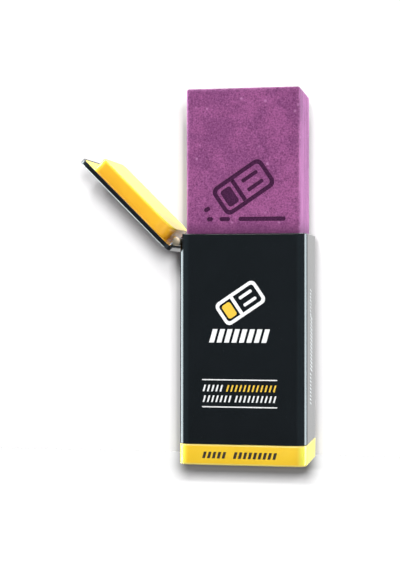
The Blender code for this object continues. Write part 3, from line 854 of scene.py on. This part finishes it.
# %% Yellow foot
FOOT_EDGE = 0.0006
BAND_EDGE = 0.00040
SPIGOT_IN = WALL + GAP
SPIGOT_WALL = 0.0014
FLOOR_TOP = 0.0018
foot_path = (quarter(FOOT_EDGE, FOOT_LOW + FOOT_EDGE, FOOT_EDGE, 270, 180, 8)
             + quarter(BAND_EDGE, BAND_TOP - BAND_EDGE, BAND_EDGE, 180, 90)
             + [(SPIGOT_IN, BAND_TOP)]
             + quarter(SPIGOT_IN + BAND_EDGE, SPIGOT_TOP - BAND_EDGE, BAND_EDGE, 180, 90)
             + [(SPIGOT_IN + SPIGOT_WALL, SPIGOT_TOP), (SPIGOT_IN + SPIGOT_WALL, FLOOR_TOP)])
foot = loft("foot", rings_of(foot_path, LEFT + INK, RIGHT - INK, BACK - INK, CORNER, CORNER), band_plastic)
smooth(foot)
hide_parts("base_cup")
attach(foot, "case")

rib_tree, rib_in = new_tree("plate_row", {**ROW, "Size": (0.001, 0.001, 0.001), "Finish": None})
end_row(rib_tree, rib_in, put(rib_tree, "GeometryNodeMeshCube", {"Size": rib_in["Size"]}).outputs[0])

RIB = 0.0012
half_x = RIGHT - SPIGOT_IN - SPIGOT_WALL
half_y = BACK - SPIGOT_IN - SPIGOT_WALL
rib_low, rib_high = FLOOR_TOP, SPIGOT_TOP - BAND_EDGE
rib_middle = (rib_low + rib_high) / 2
ribs = joined("foot_ribs", [
    grow("ribs_across", rib_tree, count=3, first=(-half_x / 2, 0.0, rib_middle), step=(half_x / 2, 0.0, 0.0),
         size=(RIB, 2 * half_y, rib_high - rib_low)),
    grow("ribs_along", rib_tree, count=2, first=(0.0, -half_y / 3, rib_middle), step=(0.0, 2 * half_y / 3, 0.0),
         size=(2 * half_x, RIB, rib_high - rib_low)),
], band_plastic)
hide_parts("base_cup")
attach(ribs, "case")
print("foot has", len(foot.data.polygons), "faces and", len(ribs.data.polygons) // 6, "ribs")

# %% [markdown]
# ## The mark
#
# A small picture of a block eraser that rubs along a line is printed on the case and pressed into the
# eraser. It is drawn once, flat, in millimetres, as outlines and closed shapes, then placed, scaled and
# given a thickness. An outline is a pair of loops, and the pair is drawn out into a closed frame.

# %% Flat shapes
def rounded_bar(width, height, radius, steps=6):
    """Loop of a rounded rectangle about the origin."""
    loop = []
    for sx, sy, start in ((1, -1, -90), (1, 1, 0), (-1, 1, 90), (-1, -1, 180)):
        for step in range(steps + 1):
            turn = radians(start + 90 * step / steps)
            loop.append((sx * (width / 2 - radius) + radius * cos(turn),
                         sy * (height / 2 - radius) + radius * sin(turn)))
    return loop


def placed(loop, dx, dz, degrees=0.0):
    turn = radians(degrees)
    return [(dx + x * cos(turn) - z * sin(turn), dz + x * sin(turn) + z * cos(turn)) for x, z in loop]


def drawn_out(name, loop, y0, y1, centre, scale, hole=None):
    """A flat shape, given a thickness along Y. With a hole, it is a frame."""
    def lifted(points, y):
        return [(centre[0] + scale * x, y, centre[1] + scale * z) for x, z in points]

    rings = [lifted(loop, y0), lifted(loop, y1)]
    if hole:
        rings += [lifted(hole, y1), lifted(hole, y0)]
    return loft(name, rings, ring_closed=bool(hole))


TILT, LIFT = 34.0, 1.2
LINE = 1.05
WIDE, HIGH, ROUND = 14.6, 8.0, 1.7
ON_BLOCK = (("white", LINE, HIGH - 2 * LINE - 0.02, 0.02, -1.4, 0.0), ("white", 4.6, 0.95, 0.4, 2.7, 1.3),
            ("white", 4.6, 0.95, 0.4, 2.7, -1.3), ("yellow", 3.0, 4.6, 0.7, -4.1, 0.0))
BELOW = (("white", 11.6, 4.6, -6.6, 0.0), ("yellow", 2.6, -4.6, -6.6, 0.0), ("yellow", 1.6, -9.0, -4.2, 28),
         ("yellow", 1.5, -8.3, -6.6, 0.0))


def mark_shapes(with_line):
    """The picture's shapes: (which ink, loop, hole). The line that is rubbed out can be left off."""
    def tilted(dx, dz, *bar):
        return placed(placed(rounded_bar(*bar), dx, dz), 0.0, LIFT, TILT)

    shapes = [("white", *[tilted(0.0, 0.0, WIDE - 2 * less, HIGH - 2 * less, ROUND - 0.75 * less)
                          for less in (0.0, LINE)])]
    for ink_name, *bar, dx, dz in ON_BLOCK:
        shapes.append((ink_name, tilted(dx, dz, *bar), None))
    for ink_name, width, *where in BELOW if with_line else ():
        shapes.append((ink_name, placed(rounded_bar(width, LINE, 0.5), *where), None))
    return shapes


print("the mark has", len(mark_shapes(True)), "shapes")

# %% [markdown]
# ## The eraser block
#
# The block follows a rule, so Geometry Nodes make it: a fine grid on a box, whose points near an edge are
# drawn on to a rounded edge, and then every point is moved a little inwards by two noises. A slow one makes
# the faces faintly wavy, and a quick one, stronger at the edges, crumbles them. The tree also stores how
# near an edge each point is, for the worn look. Nothing moves outwards, so the block stays in its box.

# %% Eraser tree
tree, given = new_tree("eraser_block", {
    "Size": (0.04, 0.03, 0.06), "Centre": (0.0, 0.0, 0.0), "Rounding": 0.0012, "Cells X": 10, "Cells Y": 10,
    "Cells Z": 10, "Wave": 0.0001, "Crumble": 0.0003, "Wear Width": 0.0016, "Seed": 3.0, "Finish": None})
box = put(tree, "GeometryNodeMeshCube", {"Size": given["Size"], "Vertices X": given["Cells X"],
                                         "Vertices Y": given["Cells Y"], "Vertices Z": given["Cells Z"]})
spot = source(tree, "GeometryNodeInputPosition")
half = given["Size"] * (0.5, 0.5, 0.5)

core = half - given["Rounding"]
inner = spot.sum('MAXIMUM', core * (-1.0, -1.0, -1.0)).sum('MINIMUM', core)
outward = (spot - inner).sum('NORMALIZE')
rounded = inner + outward * given["Rounding"]

near = (spot.sum('ABSOLUTE') - half + given["Wear Width"]).sum('DIVIDE', given["Wear Width"])
near = near.sum('MAXIMUM', (0.0, 0.0, 0.0)).sum('MINIMUM', (1.0, 1.0, 1.0))
edge = most(*[near.on(one) * near.on(other) for one, other in ("XY", "YZ", "ZX")])

seeded = spot + given["Seed"]
crumbs = seeded.noise(620.0, 3.0, 0.6) * given["Crumble"] * edge.spread(0.0, 1.0, 0.22, 1.0)
inwards = seeded.noise(110.0) * given["Wave"] + crumbs
marked = put(tree, "GeometryNodeStoreNamedAttribute", {"Geometry": box.outputs[0], "Name": "worn",
                                                       "Value": edge}, data_type='FLOAT', domain='POINT')
shaped = put(tree, "GeometryNodeSetPosition", {
    "Geometry": marked.outputs[0], "Position": rounded - outward * inwards + given["Centre"]})
end_tree(tree, shaped.outputs[0], given["Finish"])
print("eraser tree has", len(tree.nodes), "nodes")

# %% [markdown]
# A cell of the grid is a little under 0.4 mm, which is fine enough for the crumbled edges and stays well
# under the limit of triangles. The mark is cut by a Boolean afterwards, so its own edges stay crisp.

# %% Eraser block
CELL = 0.00038
block_size = BLOCK[1] - BLOCK[0]
cells = [round(side / CELL) + 1 for side in block_size]
eraser = grow("eraser", tree, size=tuple(block_size), centre=tuple((BLOCK[0] + BLOCK[1]) / 2), rounding=0.0010,
              cells_x=cells[0], cells_y=cells[1], cells_z=cells[2], wave=0.00012, crumble=0.00034,
              wear_width=0.0016, seed=3.0, finish=eraser_rubber)
for ink_name, loop, hole in mark_shapes(True):
    tool = drawn_out("mark_tool", loop, BLOCK[0].y - PAST, BLOCK[0].y + MARK_DEPTH,
                     (MARK_PLACE.x, MARK_PLACE.z), MARK_SCALE, hole)
    carve(eraser, tool, 'MANIFOLD')
smooth(eraser, 38, weighted=False)
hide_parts("eraser_block")
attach(eraser, "eraser")
print("eraser has", len(eraser.data.polygons), "faces")

# %% [markdown]
# ## The lid
#
# The lid is easiest to think of shut, lying on the rim, with the hinge axis as the origin. So its two
# mouldings are lofted there, and one matrix then opens them in place. The cover is a shallow black tray. Its
# skirt comes down round the lining's flange, so from the side the lid has one even black edge. The lining is
# a single loft from the underside of the plug, round a small fillet and out along the flange. The plug is
# rounded far more at the hinge end, so that it can swing out of the mouth.

# %% Lid mouldings
OPENED = Matrix.Translation(LID_AXIS) @ Matrix.Rotation(-LID_OPEN, 4, 'Y')
LID_NEAR, LID_FAR = -0.0002, 0.0452
FLANGE_LOW, STEP_TOP = 0.0027, 0.0036
SKIRT = 0.0008
SKIRT_LOW = FLANGE_LOW + 0.00005
SKIRT_EDGE, LID_EDGE, THIN_EDGE = 0.00045, 0.00040, 0.00013
TRAY_IN = 0.004
PLUG_HALF = BACK - 0.00175
PLUG_WALL = 0.0012
PLUG_EDGE, PLUG_FILLET = 0.0003, 0.0002
PLUG_NEAR_CORNER, PLUG_FAR_CORNER = 0.0060, 0.0025
cover_path = ([(SKIRT + TRAY_IN, LID_TOP - SKIRT), (SKIRT, LID_TOP - SKIRT)]
              + quarter(SKIRT - SKIRT_EDGE, SKIRT_LOW + SKIRT_EDGE, SKIRT_EDGE, 0, -90, 4)
              + quarter(THIN_EDGE, SKIRT_LOW + THIN_EDGE, THIN_EDGE, 270, 180, 3)
              + quarter(LID_EDGE, LID_TOP - LID_EDGE, LID_EDGE, 180, 90, 6))
cover = loft("lid_cover", rings_of(cover_path, LID_NEAR, LID_FAR, BACK, CORNER, CORNER), cover_plastic)

plug_rings = rings_of(quarter(PLUG_EDGE, PLUG_LOW + PLUG_EDGE, PLUG_EDGE, 270, 180, 5)
                      + quarter(-PLUG_FILLET, FLANGE_LOW - PLUG_FILLET, PLUG_FILLET, 0, 90, 3),
                      PLUG_NEAR, PLUG_FAR, PLUG_HALF, PLUG_NEAR_CORNER, PLUG_FAR_CORNER)
flange_rings = rings_of(quarter(SKIRT + GAP + THIN_EDGE, FLANGE_LOW + THIN_EDGE, THIN_EDGE, 270, 180, 3)
                        + [(SKIRT + GAP, STEP_TOP)], LID_NEAR, LID_FAR, BACK, CORNER, CORNER)
lining = loft("lid_lining", plug_rings + flange_rings, lining_plastic)

# %% [markdown]
# The steel leaf comes up through a notch in the lining and its tail lies in a channel under the cover, so
# both are cut, and the plug is hollow, as any thick moulding is.

# %% Cuts in the lining, and the lid opened
LEAF_HALF = LEAF[1].y
LEAF_THICK = 0.00055
TAIL_END = 0.0094
ROOF = 0.0006
carve(lining, loft("hollow", rings_of(
    [(0.0, PLUG_LOW + PLUG_WALL), (0.0, STEP_TOP - ROOF)], PLUG_NEAR + PLUG_WALL, PLUG_FAR - PLUG_WALL,
    PLUG_HALF - PLUG_WALL, PLUG_NEAR_CORNER - PLUG_WALL, PLUG_FAR_CORNER - PLUG_WALL)))
carve(lining, block("channel", (BARREL - LEAF_THICK, -LEAF_HALF - GAP, STEP_TOP - LEAF_THICK),
                    (TAIL_END + GAP, LEAF_HALF + GAP, LID_TOP)))
carve(lining, block("notch", (LID_NEAR - PAST, -LEAF_HALF - GAP, FLANGE_LOW - PAST),
                    (BARREL + GAP, LEAF_HALF + GAP, LID_TOP)))
for piece, node, slot_name in ((cover, "lid_shell", "lid_black"), (lining, "lid_insert", "lid_yellow")):
    piece.data.transform(OPENED)
    smooth(piece)
    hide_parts(node)
    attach(piece, "lid")
    print(piece.name, "has", len(piece.data.polygons), "faces")

# %% [markdown]
# ## The hinge
#
# The two leaves are already right in the CAD: strips that curl round the pin in turn. They stay, and get
# the rolled steel. The pin is turned again here with upset heads, whose faces are slightly domed, because
# one of them faces us. The heads of the case rivets repeat, so a small tree makes them.

# %% Pin
HEAD_END = PIN[1].y
SHANK = 0.0007
HEAD_RADIUS = 0.00150
HEAD_EDGE = 0.00030
HEAD_BACK_EDGE = 0.00008
DOME = 0.00007
flat = HEAD_RADIUS - HEAD_EDGE
half_pin = [(HEAD_START, SHANK)]
half_pin += [(HEAD_START + radius, HEAD_RADIUS - HEAD_BACK_EDGE + radius)
             for radius in (0.0, HEAD_BACK_EDGE / 2, HEAD_BACK_EDGE)]
half_pin += [(HEAD_END - DOME - HEAD_EDGE + HEAD_EDGE * sin(turn), flat + HEAD_EDGE * cos(turn))
             for turn in [radians(15 * step) for step in range(7)]]
half_pin += [(HEAD_END - DOME * share ** 2, flat * share) for share in (0.85, 0.7, 0.5, 0.3, 0.1)]
pin = turned_rod("pin", [(-along, radius) for along, radius in reversed(half_pin)] + half_pin, 48)
pin.data.materials.append(pin_steel)
smooth(pin, 40, weighted=False)
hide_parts("hinge_pin")
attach(pin, "case")
for node in ("hinge_leaf_case", "hinge_leaf_lid", "lid_rivet_front", "lid_rivet_back"):
    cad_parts[node].material_slots[0].material = leaf_steel
print("pin is", round(2000 * HEAD_END, 1), "mm long")

# %% [markdown]
# A rivet is a shank with a head at each end. The tree makes each head from a cylinder, whose upper cap
# sinks towards its edge, which is how a rivet set forms it.

# %% Case rivets
rivet_tree, rivet_in = new_tree("rivet_row", {
    **ROW, "Head Radius": 0.0015, "Head Depth": 0.0003, "Shank Radius": 0.0008, "Shank Length": 0.0016,
    "Finish": None})


def rivet_cylinder(part, depth, caps):
    node = put(rivet_tree, "GeometryNodeMeshCylinder", {
        "Vertices": 36, "Side Segments": 1, "Fill Segments": caps, "Radius": rivet_in[part + " Radius"],
        "Depth": rivet_in[part + depth]}, fill_type='TRIANGLE_FAN')
    return node.outputs["Mesh"]


at = source(rivet_tree, "GeometryNodeInputPosition")
share = (at * (1.0, 1.0, 0.0)).sum('LENGTH').sum('DIVIDE', rivet_in["Head Radius"])
above = at.on("Z").sum('GREATER_THAN', 0.0)
sink = share.sum('POWER', 3.0) * rivet_in["Head Depth"] * above * -0.75
shift = (rivet_in["Shank Length"] + rivet_in["Head Depth"]) * 0.5
head = put(rivet_tree, "GeometryNodeSetPosition", {
    "Geometry": rivet_cylinder("Head", " Depth", 6), "Offset": merge(rivet_tree, z=sink)})
upper = put(rivet_tree, "GeometryNodeTransform", {
    "Geometry": head.outputs[0], "Translation": merge(rivet_tree, z=shift)})
lower = put(rivet_tree, "GeometryNodeTransform", {"Geometry": upper.outputs[0], "Rotation": (pi, 0.0, 0.0)})
rivet = put(rivet_tree, "GeometryNodeJoinGeometry")
for part in (upper.outputs[0], lower.outputs[0], rivet_cylinder("Shank", " Length", 1)):
    rivet_tree.links.new(part, rivet.inputs[0])
end_row(rivet_tree, rivet_in, rivet.outputs[0], Rotation=(0.0, -pi / 2, 0.0))

RIVET_HEAD = 0.0003
ENDS = [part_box(name) for name in ("case_rivet_front", "case_rivet_back")]
first, last = [(low + high) / 2 for low, high in ENDS]
rivets = grow("case_rivets", rivet_tree, count=2, first=tuple(first), step=tuple(last - first),
              head_radius=(ENDS[0][1].y - ENDS[0][0].y) / 2, head_depth=RIVET_HEAD, shank_radius=0.0008,
              shank_length=ENDS[0][1].x - ENDS[0][0].x - 2 * RIVET_HEAD, finish=pin_steel)
smooth(rivets, 40, weighted=False)
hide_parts("case_rivet_front", "case_rivet_back")
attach(rivets, "case")
print("rivets at", in_mm(first), "and", in_mm(last))

# %% [markdown]
# ## The print
#
# The front carries the mark in white and yellow, a row of bold slanted strokes, and two fine rules with
# two rows of small strokes between them, in groups. Two groups in dark ink lie on the foot's band. The
# strokes repeat, so a tree draws each row: a bar, leaned over by moving its top sideways, set along a line.
# Ink is a real layer that stands 0.02 mm out, so it is geometry and its edges stay sharp in a close view.

# %% Row of strokes
row_tree, row_in = new_tree("stroke_row", {**ROW, "Size": (0.001, 0.00004, 0.001), "Lean": 0.3, "Finish": None})
lean = source(row_tree, "GeometryNodeInputPosition").on("Z") * row_in["Lean"]
leant = put(row_tree, "GeometryNodeSetPosition", {
    "Geometry": put(row_tree, "GeometryNodeMeshCube", {"Size": row_in["Size"]}).outputs[0],
    "Offset": merge(row_tree, lean)})
end_row(row_tree, row_in, leant.outputs[0])

LAYER = 2 * INK          # half of the layer is sunk in the plastic
LEAN = 0.28
PRINT_X, PRINT_HALF = -0.0008, 0.0132
LINE_START = PRINT_X - PRINT_HALF + 0.0008
HIGH_LINE, LOW_LINE, BAND_LINE = 0.02695, 0.02325, 0.0036
BOLD_HALF, BOLD_LINE = 0.0092, 0.0452
FINE_HEIGHT, FINE_WIDTH, FINE_PITCH = 0.0023, 0.00058, 0.00150
BAND_WIDTH, BAND_PITCH = 0.00100, 0.00173


def stroke_row(name, count, start, end, z, width, height, lean=LEAN):
    """Strokes from one end of a row to the other, on the front."""
    pitch = (end - start) / max(count - 1, 1)
    return grow(name, row_tree, count=count, first=(start, FRONT + INK, z), step=(pitch, 0.0, 0.0),
                size=(width, LAYER, height), lean=lean)


def rule(name, z, height):
    return stroke_row(name, 1, PRINT_X, PRINT_X, z, 2 * PRINT_HALF, height, 0.0)


def fine_group(name, skipped, count, z, width=FINE_WIDTH, pitch=FINE_PITCH):
    """A group of fine strokes, given by how many are skipped before it and how many it has."""
    start = LINE_START + skipped * pitch
    return stroke_row(name, count, start, start + pitch * (count - 1), z, width, FINE_HEIGHT)


prints = {
    "white": [stroke_row("bold", 8, PRINT_X - BOLD_HALF, PRINT_X + BOLD_HALF, BOLD_LINE, 0.00172, 0.0047),
              rule("rule_high", 0.02987, 0.00037), rule("rule_low", 0.02042, 0.00039),
              fine_group("fine_high", 0, 5, HIGH_LINE), fine_group("fine_low_left", 0, 7, LOW_LINE),
              fine_group("fine_low_right", 7.5, 10, LOW_LINE)],
    "yellow": [fine_group("fine_yellow", 5.5, 12, HIGH_LINE)],
    "dark": [fine_group("band_left", 0, 5, BAND_LINE, BAND_WIDTH, BAND_PITCH),
             fine_group("band_right", 6.3, 9, BAND_LINE, BAND_WIDTH, BAND_PITCH)]}
for ink_name, loop, hole in mark_shapes(False):
    prints[ink_name].append(drawn_out("mark_ink", loop, FRONT, FRONT + LAYER, (PRINT_X + 0.0003, 0.0553),
                                      0.00114, hole))

# %% [markdown]
# Three more groups run down the right side. They come from the same tree, grown lying down and then turned
# on to that side with a matrix, before they are joined to the other white ink.

# %% Prints in place
def side_group(name, count, high, low, across, width, height):
    """Strokes that run down the right side, from one height to another."""
    group = grow(name, row_tree, count=count, first=(-high, 0.0, 0.0),
                 step=((high - low) / (count - 1), 0.0, 0.0), size=(width, LAYER, height), lean=LEAN)
    group.data.transform(Matrix.Translation((RIGHT - INK, across, 0.0)) @ Matrix.Rotation(-pi / 2, 4, 'X')
                         @ Matrix.Rotation(pi / 2, 4, 'Z'))
    return group


prints["white"] += [
    side_group("side_high", 8, 0.0610, 0.0525, -0.0027, 0.00040, 0.0030),
    side_group("side_middle", 15, 0.0512, 0.0328, -0.0006, 0.00046, 0.0054),
    side_group("side_low", 9, 0.0313, 0.0211, -0.0027, 0.00044, 0.0034),
]
for ink_name, parts in prints.items():
    print_layer = joined("print_" + ink_name, parts, inks[ink_name])
    smooth(print_layer, 30, weighted=False)
    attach(print_layer, "case")
    print(print_layer.name, "has", len(print_layer.data.polygons), "faces")
